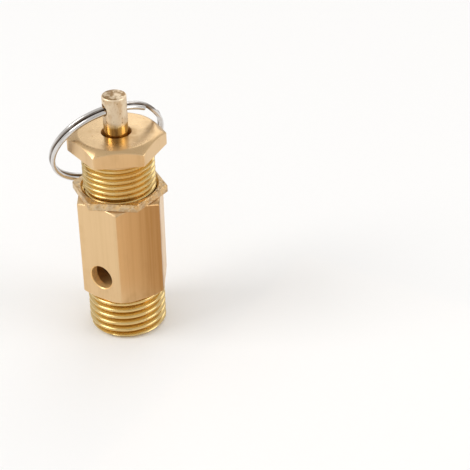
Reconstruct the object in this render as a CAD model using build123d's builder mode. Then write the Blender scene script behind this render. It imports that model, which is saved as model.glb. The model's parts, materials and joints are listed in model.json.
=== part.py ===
from build123d import *
from math import acos, asin, cos, radians, sin, tan
import os

# Pressure relief valve: a hexagonal brass body with a threaded inlet, a spring-loaded
# sealing disc on a stem, an adjusting bonnet with its locknut, and a pull ring.
# Millimetres. The valve's axis is Z and the inlet end face lies at Z = 0. The front
# discharge hole faces -Y.

# ---------------------------------------------------------------- driving sizes
# Inlet: parallel pipe thread, quarter inch, 19 threads per inch, 55 degrees.
inlet_major_dia = 13.157
inlet_pitch = 1.337
inlet_thread_depth = 0.856
inlet_flank_angle = 27.5
inlet_root_width = 0.24066
inlet_run_in = 0.46795
inlet_length = 7.9
inlet_tip_chamfer = 0.65
inlet_wall = 1.1
inlet_bore_depth = 6.2
inlet_step_width = 0.62
inlet_step_depth = 2.0
inlet_step_bevel = 0.3
inlet_floor_width = 0.9
inlet_floor_rise = 0.6
orifice_dia = 3.2
inlet_mouth_chamfer = 0.25
inlet_shoulder = 0.15

# Body.
body_wall = 0.75
body_length = 18.0
body_edge_width = 0.2
floor_thickness = 1.1
seat_height = 0.9
seat_land_width = 0.6
seat_flare = 0.9
body_thread_height = 0.45
discharge_dia = 4.2
discharge_height = 4.4
drill_clearance = 0.8
body_thread_turns = 10

# Adjusting thread shared by body, locknut and bonnet: metric fine, 60 degrees.
adjust_major_dia = 12.0
adjust_pitch = 1.0
adjust_depth = 0.53
adjust_root_width = 0.2
adjust_flank_angle = 30.0
thread_clearance = 0.12
body_thread_slack = 0.09
nut_thread_slack = 0.17

# Locknut.
nut_wall = 0.9
nut_turn = 26.0
nut_thread_height = 0.3
nut_thickness = 1.3
nut_countersink = 0.35
nut_edge_chamfer = 0.12

# Bonnet.
head_overhang = 1.0
head_turn = 38.0
bonnet_head_height = 2.94
head_chamfer_width = 0.5
bonnet_exposed_length = 6.8
bonnet_engaged_length = 5.8
bonnet_collar = 0.9
bonnet_wall = 0.77
bonnet_roof = 2.3
stem_hole_clearance = 0.45
bonnet_mouth_chamfer = 0.4

# Stem.
stem_dia = 4.0
stem_top = 6.56
stem_tip_chamfer = 0.25
cross_hole_clearance = 0.2
cross_hole_drop = 2.3
cross_hole_bearing = 59.0
stem_shoulder = 0.5

# Disc holder and sealing disc.
seal_overlap = 0.8
seal_thickness = 1.6
seal_grip = 1.2
holder_cup_wall = 0.8
holder_cup_height = 2.0
guide_clearance = 0.25
guide_thickness = 1.6
guide_vent = 0.9
spigot_clearance = 0.25
spigot_height = 2.5
seal_fit = 0.02
tail_fit = 0.02
tail_end_gap = 0.15

# Spring and its washer.
wire_dia = 0.9
coil_clearance = 0.25
coil_turns = 8.0
washer_clearance = 0.2
washer_bore_clearance = 0.25
washer_thickness = 0.8

# Split ring.
ring_outer_dia = 20.0
ring_wire_dia = 0.8
ring_turn_gap = 0.02
ring_head_clearance = 1.17
ring_body_clearance = 1.0
ring_end_angle = 33.0
ring_step_angle = 26.0
ring_end_gap_angle = 2.0

# Every thread is cut from this bearing, clear of the seam of the turned faces at +X, and
# its cutter reaches past the crest by a small share of the pitch.
thread_bearing = 200.0
outside_reach = 0.1
inside_reach = 0.06

# A cut through an end face runs this far past it.
overshoot = 1.0

# ---------------------------------------------------------------- worked-out places
half_angle = radians(30)
adjust_flank = radians(adjust_flank_angle)


def corner_radius(flats):
    """Radius of the corners of a hexagon, from its size across flats."""
    return flats / 2 / cos(half_angle)


adjust_major_r = adjust_major_dia / 2
inlet_major_r = inlet_major_dia / 2
body_flats = max(adjust_major_dia + 2 * body_wall, inlet_major_dia + 2 * inlet_shoulder)
nut_flats = adjust_major_dia + 2 * nut_wall
bonnet_flats = adjust_major_dia + 2 * head_overhang
body_edge_r = body_flats / 2 + body_edge_width
head_face_r = bonnet_flats / 2 - head_chamfer_width

inlet_bore_r = inlet_major_r - inlet_thread_depth - inlet_wall
inlet_step_r = inlet_bore_r - inlet_step_width
orifice_r = orifice_dia / 2
inlet_floor_r = orifice_r + inlet_floor_width
seat_land_r = orifice_r + seat_land_width
seat_base_r = seat_land_r + seat_flare
chamber_r = adjust_major_r - body_thread_height
nut_bore_r = adjust_major_r - nut_thread_height
bonnet_bore_r = adjust_major_r - adjust_depth - bonnet_wall

body_bottom = inlet_length
body_top = body_bottom + body_length
floor_bottom = inlet_bore_depth + inlet_step_depth + inlet_floor_rise
floor_top = floor_bottom + floor_thickness
seat_top = floor_top + seat_height
discharge_centre = body_bottom + discharge_height

nut_bottom = body_top
nut_top = nut_bottom + nut_thickness
head_bottom = nut_top + bonnet_exposed_length
head_top = head_bottom + bonnet_head_height
bonnet_bottom = body_top - bonnet_engaged_length
bonnet_ceiling = head_top - bonnet_roof

seal_top = seat_top + seal_thickness
cup_bottom = seal_top - seal_grip
cup_top = cup_bottom + holder_cup_height
guide_top = cup_top + guide_thickness
spigot_top = guide_top + spigot_height
stem_end = head_top + stem_top
cross_hole_height = stem_end - cross_hole_drop

washer_bottom = bonnet_ceiling - washer_thickness
spring_length = washer_bottom - guide_top

stem_r = stem_dia / 2
stem_tail_r = stem_r - stem_shoulder
stem_hole_r = stem_r + stem_hole_clearance
cross_hole_r = ring_wire_dia + cross_hole_clearance
seal_r = seat_land_r + seal_overlap
holder_cup_r = seal_r + holder_cup_wall
guide_r = chamber_r - guide_clearance
coil_mean_r = bonnet_bore_r - coil_clearance - wire_dia / 2
spigot_r = coil_mean_r - wire_dia / 2 - spigot_clearance
washer_r = bonnet_bore_r - washer_clearance
washer_bore_r = stem_r + washer_bore_clearance

adjust_crest_width = adjust_pitch - adjust_root_width - 2 * adjust_depth * tan(adjust_flank)


def place_on_helix(path):
    """Plane at the start of a helix with X pointing away from the axis."""
    start = path @ 0
    return Plane(origin=start, x_dir=(start.X, start.Y, 0), z_dir=path % 0)


def thread_cutter(pitch, bottom, turns, inner_r, outer_r, inner_width, outer_width):
    """Helical bar that cuts one thread groove, centred on bottom where it crosses +X."""
    start = bottom + pitch * thread_bearing / 360
    with BuildPart() as cutter:
        with BuildLine() as path:
            Helix(pitch, pitch * turns, inner_r, center=(0, 0, start))
        with BuildSketch(place_on_helix(path.line)):
            with BuildLine():
                reach = outer_r - inner_r
                Polyline(
                    (0, -inner_width / 2),
                    (reach, -outer_width / 2),
                    (reach, outer_width / 2),
                    (0, inner_width / 2),
                    close=True,
                )
            make_face()
        sweep(path=path.line, is_frenet=True)
    return cutter.part.rotate(Axis.Z, thread_bearing)


def outside_groove(major_r, depth, pitch, bottom, turns, flank, root_width):
    """Groove of an outside thread, reaching a little past the crest."""
    over = outside_reach * pitch
    root_r = major_r - depth
    open_width = root_width + 2 * (depth + over) * tan(flank)
    return thread_cutter(
        pitch, bottom, turns, root_r, major_r + over, root_width, open_width
    )


def inside_groove(bottom, turns, bore_r, slack):
    """Groove of the inside thread, wider than the bonnet's ridge by a slack each side."""
    inner_r = bore_r - inside_reach * adjust_pitch
    outer_r = adjust_major_r + thread_clearance
    crest_width = adjust_crest_width + 2 * slack
    outer_width = crest_width - 2 * thread_clearance * tan(adjust_flank)
    inner_width = crest_width + 2 * (adjust_major_r - inner_r) * tan(adjust_flank)
    return thread_cutter(
        adjust_pitch, bottom, turns, inner_r, outer_r, inner_width, outer_width
    )


# The bonnet's ridge crosses +X at the body's top face and whole pitches from it. The
# body's groove runs out a little above that face, and the locknut's goes right through.
run_out_turns = 0.6 - thread_bearing / 360
nut_groove_lead = 2

# ---------------------------------------------------------------- valve body
with BuildPart() as edge_cone:
    # Turned envelope that takes the corners off the hexagon at both ends.
    with BuildSketch(Plane.XZ):
        with BuildLine():
            reach = corner_radius(body_flats) + overshoot
            drop = (reach - body_edge_r) * tan(half_angle)
            Polyline(
                (0, body_bottom),
                (body_edge_r, body_bottom),
                (reach, body_bottom + drop),
                (reach, body_top - drop),
                (body_edge_r, body_top),
                (0, body_top),
                close=True,
            )
        make_face()
    revolve(axis=Axis.Z)

with BuildPart() as valve_body:
    with BuildSketch(Plane.XY.offset(body_bottom)):
        RegularPolygon(body_flats / 2, 6, major_radius=False)
    extrude(amount=body_length)
    add(edge_cone.part, mode=Mode.INTERSECT)
    # Spring chamber down to the floor, leaving the raised seat.
    with BuildSketch(Plane.XZ):
        with BuildLine():
            Polyline(
                (seat_base_r, floor_top),
                (chamber_r, floor_top),
                (chamber_r, body_top + overshoot),
                (0, body_top + overshoot),
                (0, seat_top),
                (seat_land_r, seat_top),
                close=True,
            )
        make_face()
    revolve(axis=Axis.Z, mode=Mode.SUBTRACT)
    # Inside thread for the bonnet, opening in the top face.
    add(
        inside_groove(
            body_top - body_thread_turns * adjust_pitch,
            body_thread_turns + run_out_turns,
            chamber_r,
            body_thread_slack,
        ),
        mode=Mode.SUBTRACT,
    )
    # Inlet spigot, chamfered at its tip.
    with BuildSketch(Plane.XZ):
        with BuildLine():
            Polyline(
                (0, 0),
                (inlet_major_r - inlet_tip_chamfer, 0),
                (inlet_major_r, inlet_tip_chamfer),
                (inlet_major_r, body_bottom),
                (0, body_bottom),
                close=True,
            )
        make_face()
    revolve(axis=Axis.Z)
    # Inlet cavity: main bore, a narrower step, a coned floor and the orifice.
    with BuildSketch(Plane.XZ):
        with BuildLine():
            mouth_r = inlet_bore_r + inlet_mouth_chamfer
            step_top = inlet_bore_depth + inlet_step_depth
            Polyline(
                (0, -overshoot),
                (mouth_r, -overshoot),
                (mouth_r, 0),
                (inlet_bore_r, inlet_mouth_chamfer),
                (inlet_bore_r, inlet_bore_depth - inlet_step_bevel),
                (inlet_step_r, inlet_bore_depth),
                (inlet_step_r, step_top),
                (inlet_floor_r, floor_bottom),
                (orifice_r, floor_bottom),
                (orifice_r, seat_top + overshoot),
                (0, seat_top + overshoot),
                close=True,
            )
        make_face()
    revolve(axis=Axis.Z, mode=Mode.SUBTRACT)
    # Discharge holes, front and back, drilled into the chamber clear of the seat.
    drill_end = seat_base_r + drill_clearance
    for side in (-1, 1):
        with BuildSketch(Plane.XZ.offset(side * body_flats / 2)):
            with Locations((0, discharge_centre)):
                Circle(discharge_dia / 2)
        extrude(amount=side * (drill_end - body_flats / 2), mode=Mode.SUBTRACT)
    # Inlet thread.
    add(
        outside_groove(
            inlet_major_r,
            inlet_thread_depth,
            inlet_pitch,
            -inlet_pitch,
            (inlet_length + inlet_run_in) / inlet_pitch,
            radians(inlet_flank_angle),
            inlet_root_width,
        ),
        mode=Mode.SUBTRACT,
    )
valve_body.part.label = "valve_body"

# ---------------------------------------------------------------- locknut
with BuildPart() as locknut:
    with BuildSketch(Plane.XY.offset(nut_bottom)):
        RegularPolygon(nut_flats / 2, 6, major_radius=False, rotation=nut_turn)
    extrude(amount=nut_thickness)
    chamfer(locknut.edges().group_by(Axis.Z)[-1], nut_edge_chamfer)
    with BuildSketch(Plane.XY.offset(nut_bottom)):
        Circle(nut_bore_r)
    extrude(amount=nut_thickness, mode=Mode.SUBTRACT)
    add(
        inside_groove(
            nut_bottom - nut_groove_lead * adjust_pitch,
            nut_thickness / adjust_pitch + 2 * nut_groove_lead,
            nut_bore_r,
            nut_thread_slack,
        ),
        mode=Mode.SUBTRACT,
    )
    # Countersinks at both faces.
    sink_r = adjust_major_r + thread_clearance + nut_countersink
    for face, inward in ((nut_bottom, 1), (nut_top, -1)):
        with BuildSketch(Plane.XZ):
            with BuildLine():
                Polyline(
                    (0, face - inward * overshoot),
                    (sink_r + overshoot, face - inward * overshoot),
                    (0, face + inward * sink_r),
                    close=True,
                )
            make_face()
        revolve(axis=Axis.Z, mode=Mode.SUBTRACT)
locknut.part.label = "locknut"

# ---------------------------------------------------------------- bonnet
with BuildPart() as head_cone:
    with BuildSketch(Plane.XZ):
        with BuildLine():
            reach = corner_radius(bonnet_flats) + overshoot
            drop = (reach - head_face_r) * tan(half_angle)
            Polyline(
                (0, head_bottom),
                (reach, head_bottom),
                (reach, head_top - drop),
                (head_face_r, head_top),
                (0, head_top),
                close=True,
            )
        make_face()
    revolve(axis=Axis.Z)

with BuildPart() as bonnet:
    with BuildSketch(Plane.XY.offset(head_bottom)):
        RegularPolygon(bonnet_flats / 2, 6, major_radius=False, rotation=head_turn)
    extrude(amount=bonnet_head_height)
    add(head_cone.part, mode=Mode.INTERSECT)
    with BuildSketch(Plane.XZ):
        with BuildLine():
            Polyline(
                (0, bonnet_bottom),
                (adjust_major_r - bonnet_mouth_chamfer, bonnet_bottom),
                (adjust_major_r, bonnet_bottom + bonnet_mouth_chamfer),
                (adjust_major_r, head_bottom),
                (0, head_bottom),
                close=True,
            )
        make_face()
    revolve(axis=Axis.Z)
    # Spring pocket and the hole that the stem comes up through.
    with BuildSketch(Plane.XY.offset(bonnet_bottom)):
        Circle(bonnet_bore_r)
    extrude(amount=bonnet_ceiling - bonnet_bottom, mode=Mode.SUBTRACT)
    with BuildSketch(Plane.XY.offset(bonnet_ceiling)):
        Circle(stem_hole_r)
    extrude(amount=bonnet_roof, mode=Mode.SUBTRACT)
    # Outside thread, running out at the collar under the head.
    turns_below_body = round(bonnet_engaged_length / adjust_pitch) + 0.5
    groove_start = body_top - turns_below_body * adjust_pitch
    add(
        outside_groove(
            adjust_major_r,
            adjust_depth,
            adjust_pitch,
            groove_start,
            (head_bottom - bonnet_collar - groove_start) / adjust_pitch,
            adjust_flank,
            adjust_root_width,
        ),
        mode=Mode.SUBTRACT,
    )
bonnet.part.label = "bonnet"

# ---------------------------------------------------------------- stem
along_hole = (cos(radians(cross_hole_bearing)), sin(radians(cross_hole_bearing)), 0)
with BuildPart() as stem:
    with BuildSketch(Plane.XZ):
        with BuildLine():
            tail_bottom = seal_top + tail_end_gap
            Polyline(
                (0, tail_bottom),
                (stem_tail_r, tail_bottom),
                (stem_tail_r, spigot_top),
                (stem_r, spigot_top),
                (stem_r, stem_end - stem_tip_chamfer),
                (stem_r - stem_tip_chamfer, stem_end),
                (0, stem_end),
                close=True,
            )
        make_face()
    revolve(axis=Axis.Z)
    with BuildSketch(Plane(origin=(0, 0, cross_hole_height), z_dir=along_hole)):
        Circle(cross_hole_r)
    extrude(amount=stem_dia, both=True, mode=Mode.SUBTRACT)
stem.part.label = "stem"

# ---------------------------------------------------------------- disc holder
with BuildPart() as disc_holder:
    with BuildSketch(Plane.XY.offset(cup_bottom)):
        Circle(holder_cup_r)
    extrude(amount=holder_cup_height)
    # Square guide with its corners turned to run in the chamber.
    guide_flats = 2 * (guide_r - guide_vent)
    with BuildSketch(Plane.XY.offset(cup_top)):
        Circle(guide_r)
        Rectangle(guide_flats, guide_flats, mode=Mode.INTERSECT)
    extrude(amount=guide_thickness)
    with BuildSketch(Plane.XY.offset(guide_top)):
        Circle(spigot_r)
    extrude(amount=spigot_height)
    with BuildSketch(Plane.XY.offset(cup_bottom)):
        Circle(seal_r + seal_fit)
    extrude(amount=seal_grip, mode=Mode.SUBTRACT)
    with BuildSketch(Plane.XY.offset(seal_top)):
        Circle(stem_tail_r + tail_fit)
    extrude(amount=spigot_top - seal_top, mode=Mode.SUBTRACT)
disc_holder.part.label = "disc_holder"

# ---------------------------------------------------------------- sealing disc
with BuildPart() as seal_disc:
    with BuildSketch(Plane.XY.offset(seat_top)):
        Circle(seal_r)
    extrude(amount=seal_thickness)
seal_disc.part.label = "seal_disc"

# ---------------------------------------------------------------- spring washer
with BuildPart() as spring_washer:
    with BuildSketch(Plane.XY.offset(washer_bottom)):
        Circle(washer_r)
        Circle(washer_bore_r, mode=Mode.SUBTRACT)
    extrude(amount=washer_thickness)
spring_washer.part.label = "spring_washer"

# ---------------------------------------------------------------- spring
coil_pitch = spring_length / coil_turns
with BuildPart() as spring:
    with BuildLine() as coil:
        Helix(coil_pitch, spring_length, coil_mean_r, center=(0, 0, guide_top))
    with BuildSketch(place_on_helix(coil.line)):
        Circle(wire_dia / 2)
    sweep(path=coil.line, is_frenet=True)
    # Both ends are ground flat.
    for plane_height, amount in ((guide_top, -wire_dia), (washer_bottom, wire_dia)):
        with BuildSketch(Plane.XY.offset(plane_height)):
            Circle(2 * coil_mean_r)
        extrude(amount=amount, mode=Mode.SUBTRACT)
spring.part.label = "spring"

# ---------------------------------------------------------------- split ring
# Two turns side by side. The ring hangs from the cross hole, swung out from the vertical
# until it lies clear of the head's corners and of the body, and its wire steps from one
# turn to the other beside the stem. A ring that passes the head hanging straight down
# needs no swing for it.
ring_radius = (ring_outer_dia - ring_wire_dia) / 2
head_corner_r = corner_radius(bonnet_flats)
corner_depth = cross_hole_height - head_top + (head_corner_r - head_face_r) * tan(half_angle)
beside_head = head_corner_r + ring_head_clearance
beside_body = corner_radius(max(nut_flats, body_flats)) + ring_body_clearance
reach_past_head = 2 * ring_radius * corner_depth / (beside_head**2 + corner_depth**2)
hang_past_head = acos(min(reach_past_head, 1.0))
hang_past_body = asin(beside_body / (2 * ring_radius))
hang = max(hang_past_head, hang_past_body)
sideways = (-along_hole[1] * sin(hang), along_hole[0] * sin(hang))
hang_dir = Vector(sideways[0], sideways[1], -cos(hang))
ring_centre = Vector(0, 0, cross_hole_height) + hang_dir * ring_radius
ring_plane = Plane(origin=ring_centre, x_dir=-hang_dir, z_dir=Vector(*along_hole).cross(hang_dir))
turn_offset = (ring_wire_dia + ring_turn_gap) / 2
upper_turn = ring_plane.offset(turn_offset)
lower_turn = ring_plane.offset(-turn_offset)
step_start = ring_end_angle + ring_end_gap_angle
step_end = step_start + ring_step_angle
with BuildPart() as split_ring:
    with BuildLine() as wire:
        with BuildLine(upper_turn):
            first = CenterArc((0, 0), ring_radius, step_end, 360 - ring_step_angle)
        with BuildLine(lower_turn):
            second = CenterArc((0, 0), ring_radius, step_end, 360 - ring_step_angle - ring_end_gap_angle)
        step = Spline(first @ 1, second @ 0, tangents=(first % 1, second % 0))
    with BuildSketch(Plane(origin=first @ 0, z_dir=first % 0)):
        Circle(ring_wire_dia / 2)
    sweep(path=Wire([first, step, second]))
split_ring.part.label = "split_ring"

# ---------------------------------------------------------------- export
os.makedirs("parts", exist_ok=True)
export_step(valve_body.part, "parts/valve_body.step")
export_step(locknut.part, "parts/locknut.step")
export_step(bonnet.part, "parts/bonnet.step")
export_step(stem.part, "parts/stem.step")
export_step(disc_holder.part, "parts/disc_holder.step")
export_step(seal_disc.part, "parts/seal_disc.step")
export_step(spring_washer.part, "parts/spring_washer.step")
export_step(spring.part, "parts/spring.step")
export_step(split_ring.part, "parts/split_ring.step")
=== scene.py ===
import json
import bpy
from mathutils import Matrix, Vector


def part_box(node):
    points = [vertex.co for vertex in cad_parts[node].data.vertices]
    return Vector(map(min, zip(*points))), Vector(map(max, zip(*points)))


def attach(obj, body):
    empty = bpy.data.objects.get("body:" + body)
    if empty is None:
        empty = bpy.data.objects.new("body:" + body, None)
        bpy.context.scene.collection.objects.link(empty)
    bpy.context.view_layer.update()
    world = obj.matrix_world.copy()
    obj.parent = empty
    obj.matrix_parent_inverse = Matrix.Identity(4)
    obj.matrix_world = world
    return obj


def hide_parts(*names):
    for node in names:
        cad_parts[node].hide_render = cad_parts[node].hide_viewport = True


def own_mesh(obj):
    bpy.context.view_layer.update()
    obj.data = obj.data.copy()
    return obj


bl_info = {
    "name": "Relief Valve",
    "version": (1, 0, 0),
    "blender": (4, 5, 0),
    "location": "3D View > Sidebar > Relief Valve",
    "description": "Shells, threads, pull ring and finishes of a small brass pressure relief valve",
    "category": "Add Mesh",
}

from math import atan2, ceil, cos, degrees, pi, radians, sin, tan, tau

import bmesh
import bpy
from bpy.props import FloatProperty, FloatVectorProperty, IntProperty, PointerProperty
from mathutils import Matrix, Vector

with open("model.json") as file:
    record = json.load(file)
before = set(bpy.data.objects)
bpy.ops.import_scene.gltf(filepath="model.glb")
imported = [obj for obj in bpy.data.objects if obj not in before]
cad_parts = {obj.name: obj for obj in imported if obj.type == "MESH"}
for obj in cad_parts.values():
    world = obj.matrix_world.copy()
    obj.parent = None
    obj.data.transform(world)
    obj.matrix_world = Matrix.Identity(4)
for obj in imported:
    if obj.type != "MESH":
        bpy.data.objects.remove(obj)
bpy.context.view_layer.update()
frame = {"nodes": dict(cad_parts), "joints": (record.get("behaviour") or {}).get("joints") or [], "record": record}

MM = 0.001
HEX_CHAMFER = radians(30)
SIDES = 6
MERGE = 1e-8

# Facets round the hexagonal shells, the stem, a drill bit, a turn of thread and a turn of spring.
COLUMNS = 180
STEM_COLUMNS = 96
BIT_SIDES = 48
THREAD_STEPS = 120
SPRING_STEPS = 48

# Widths of a thread's ridge at its base and at its tip, as shares of the pitch, and how far
# its base is sunk into its wall.
INLET_RIDGE = (0.82, 0.16)
BODY_RIDGE = (0.77, 0.11)
NUT_RIDGE = (0.61, 0.126)
BONNET_RIDGE = (0.8, 0.19)
RIDGE_SUNK = 0.04 * MM


# ---- places taken from the frame
def low(node):
    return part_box(node)[0]


def high(node):
    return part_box(node)[1]


def width(node, axis):
    return high(node)[axis] - low(node)[axis]


def mount_size(name, dimension):
    """A dimension of one of the record's mounts, in metres."""
    mount = next(m for m in frame["record"]["mounts"] if m["name"] == name)
    return mount["dims"][dimension] * MM


def joint(name):
    return next(j for j in frame["joints"] if j["name"] == name)


INLET_LENGTH = mount_size("inlet_thread", "length_mm")
INLET_RADIUS = mount_size("inlet_thread", "r_mm")
INLET_BORE = mount_size("inlet_bore", "r_mm")
BODY_TOP = high("valve_body").z
NUT_TOP = high("locknut").z
HEAD_TOP = high("bonnet").z
BONNET_BOTTOM = low("bonnet").z
STEM_BOTTOM = low("stem").z
STEM_TOP = high("stem").z
SPRING_BOTTOM = low("spring").z
SPRING_TOP = high("spring").z
HOLE_CENTRE = Vector(joint("ring_swing")["pos_m"])
HOLE_AXIS = Vector(joint("ring_swing")["axis"]).normalized()
RING_CENTRE = (low("split_ring") + high("split_ring")) / 2


# ---- sizes and colours
def length(name, value_mm, description):
    return FloatProperty(
        name=name,
        description=description,
        default=value_mm * MM,
        precision=6,
        subtype="DISTANCE",
        unit="LENGTH",
    )


def angle(name, degrees, description):
    return FloatProperty(
        name=name,
        description=description,
        default=radians(degrees),
        subtype="ANGLE",
        unit="ROTATION",
    )


def colour(name, rgb, description):
    return FloatVectorProperty(
        name=name,
        description=description,
        default=rgb,
        size=3,
        min=0.0,
        max=1.0,
        subtype="COLOR",
    )


def place(name, value_mm, description):
    return FloatVectorProperty(
        name=name,
        description=description,
        default=Vector(value_mm) * MM,
        size=3,
        precision=6,
        subtype="TRANSLATION",
        unit="LENGTH",
    )


class BodySizes(bpy.types.PropertyGroup):
    """Sizes of the valve body and its inlet."""

    flats: length("Across flats", width("valve_body", 1) / MM, "Width of the body's hexagon")
    edge: length("Chamfer start", 6.95, "Radius where the corner chamfers begin")
    inlet_pitch: length("Inlet pitch", 1.337, "Pitch of the inlet thread")
    inlet_depth: length("Inlet depth", 0.856, "Depth of the inlet thread")
    tip_chamfer: length("Tip chamfer", 0.65, "Chamfer at the tip of the inlet thread")
    bore_depth: length("Bore depth", 6.2, "Depth of the inlet bore")
    step_radius: length("Step radius", 4.0, "Radius of the step above the inlet bore")
    step_top: length("Step top", 8.2, "Height where the coned floor begins")
    floor_radius: length("Floor radius", 2.5, "Radius of the flat round the orifice")
    floor: length("Floor", 8.8, "Height of the underside of the floor")
    orifice: length("Orifice", 1.6, "Radius of the orifice")
    chamber_floor: length("Chamber floor", 9.9, "Height of the floor of the spring chamber")
    seat: length("Seat", 10.8, "Height of the seat")
    seat_land: length("Seat land", 2.2, "Outer radius of the seat")
    seat_base: length("Seat base", 3.1, "Radius of the foot of the seat")
    chamber: length("Chamber", 5.55, "Radius of the spring chamber")
    thread_length: length("Thread length", 10.0, "Length of the inside thread")
    hole_radius: length("Discharge radius", 2.1, "Radius of the discharge holes")
    hole_height: length("Discharge height", 4.4, "Height of the holes above the shoulder")
    hole_end: length("Drill end", 3.9, "Distance from the axis where the drilling stops")


class FittingSizes(bpy.types.PropertyGroup):
    """Sizes of the locknut, bonnet, stem, ring and spring."""

    pitch: length("Adjusting pitch", 1.0, "Pitch of the adjusting thread")
    crest: length("Thread crest", 6.0, "Outer radius of the bonnet's thread")
    depth: length("Thread depth", 0.53, "Depth of the bonnet's thread")
    clearance: length("Thread clearance", 0.12, "Room outside the bonnet's crests")
    nut_flats: length("Nut across flats", 13.8, "Width of the locknut")
    nut_turn: angle("Nut turn", 26.0, "How far the locknut is turned")
    nut_chamfer: length("Nut chamfer", 0.12, "Chamfer round the locknut's top")
    nut_sink: length("Countersink", 0.35, "Countersink at both faces of the locknut")
    nut_bore: length("Nut bore", 5.7, "Crest radius of the locknut's thread")
    head_flats: length("Head across flats", 14.0, "Width of the bonnet's head")
    head_turn: angle("Head turn", 38.0, "How far the bonnet's head is turned")
    head_height: length("Head height", 2.94, "Height of the bonnet's head")
    head_edge: length("Head chamfer start", 6.5, "Radius where the head's chamfer begins")
    collar: length("Collar", 0.9, "Plain length under the bonnet's head")
    bonnet_bore: length("Bonnet bore", 4.7, "Radius of the spring pocket")
    roof: length("Roof", 2.3, "Thickness of the bonnet over the pocket")
    stem_hole: length("Stem hole", 2.45, "Radius of the hole round the stem")
    stem_tail: length("Stem tail", 1.5, "Radius of the stem's tail")
    tail_top: length("Tail top", 17.3, "Height where the stem's tail ends")
    stem_round: length("Stem rounding", 0.25, "Rounding of the stem's top edge")
    cross_hole: length("Cross hole", 1.0, "Radius of the hole that carries the ring")
    ring_radius: length("Ring radius", 9.575, "Radius of the ring to the middle of its wire")
    ring_wire: length("Ring wire", 0.4, "Radius of the ring's wire")
    turn_gap: length("Turn gap", 0.02, "Gap between the ring's two turns")
    ring_end: angle("Ring end", 33.0, "Where the ring's lower turn ends, from the hole")
    ring_step: angle("Ring step", 26.0, "Angle over which the wire changes turn")
    spring_wire: length("Spring wire", 0.45, "Radius of the spring's wire")
    spring_radius: length("Spring radius", 4.0, "Radius of the spring to the middle of its wire")
    spring_turns: IntProperty(name="Spring turns", description="Turns of the spring", default=8)


class FinishColours(bpy.types.PropertyGroup):
    """Colours of the finishes."""

    drawn: colour("Drawn brass", (0.76, 0.53, 0.288), "Satin flats of the drawn bar")
    drawn_line: colour("Draw lines", (0.50, 0.30, 0.12), "Darker lines along the drawn bar")
    # Brown painted shade for the side of the body where less light falls
    tarnish: colour("Tarnish", (0.40, 0.215, 0.075), "Brown tarnish down one side of the body")
    cut: colour("Cut brass", (0.75, 0.55, 0.24), "Bright flanks of the threads")
    cut_line: colour("Thread lines", (0.42, 0.26, 0.08), "Tool lines in the threads")
    turned: colour("Turned brass", (0.69, 0.49, 0.27), "Faces turned on the lathe")
    # Brighter than the outside brass: painted light inside the dark bores
    bore: colour("Bore brass", (1.0, 0.66, 0.28), "Inside of the bores")
    nut: colour("Nut brass", (0.78, 0.55, 0.28), "Locknut")
    nut_grey: colour("Nut worn", (0.62, 0.50, 0.34), "Worn grey patches of the locknut")
    rod: colour("Rod brass", (0.75, 0.50, 0.17), "Bright lower part of the stem")
    rod_dull: colour("Dulled rod", (0.78, 0.64, 0.46), "Dull upper part of the stem")
    nickel: colour("Nickel", (0.69, 0.67, 0.65), "Ring wire")
    # Dark stain colour, also painted as shade in the groove between the ring's turns
    nickel_stain_and_shade: colour("Nickel stain", (0.16, 0.12, 0.09), "Darker film between the ring's turns")
    steel: colour("Spring steel", (0.45, 0.46, 0.48), "Spring wire")
    rubber: colour("Rubber", (0.03, 0.03, 0.032), "Sealing disc")
    floor: colour("Floor", (0.95, 0.95, 0.95), "Studio floor")


class StageSizes(bpy.types.PropertyGroup):
    """Camera and studio."""

    camera_place: place("Camera", (121.18, -157.70, 145.44), "Where the camera stands")
    camera_aim: place("Camera aim", (9.81, 19.81, 9.11), "Point that the camera looks at")
    camera_roll: FloatProperty(
        name="Camera roll",
        description="Turn about the line of sight",
        default=-0.016,
        subtype="ANGLE",
        unit="ROTATION",
    )
    camera_lens: FloatProperty(
        name="Lens", description="Focal length in millimetres", default=107.23
    )
    floor_size: length("Floor size", 1600.0, "Width of the studio floor")
    sky: FloatProperty(
        name="Sky", description="Strength of the plain light all round", default=0.72
    )


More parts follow.
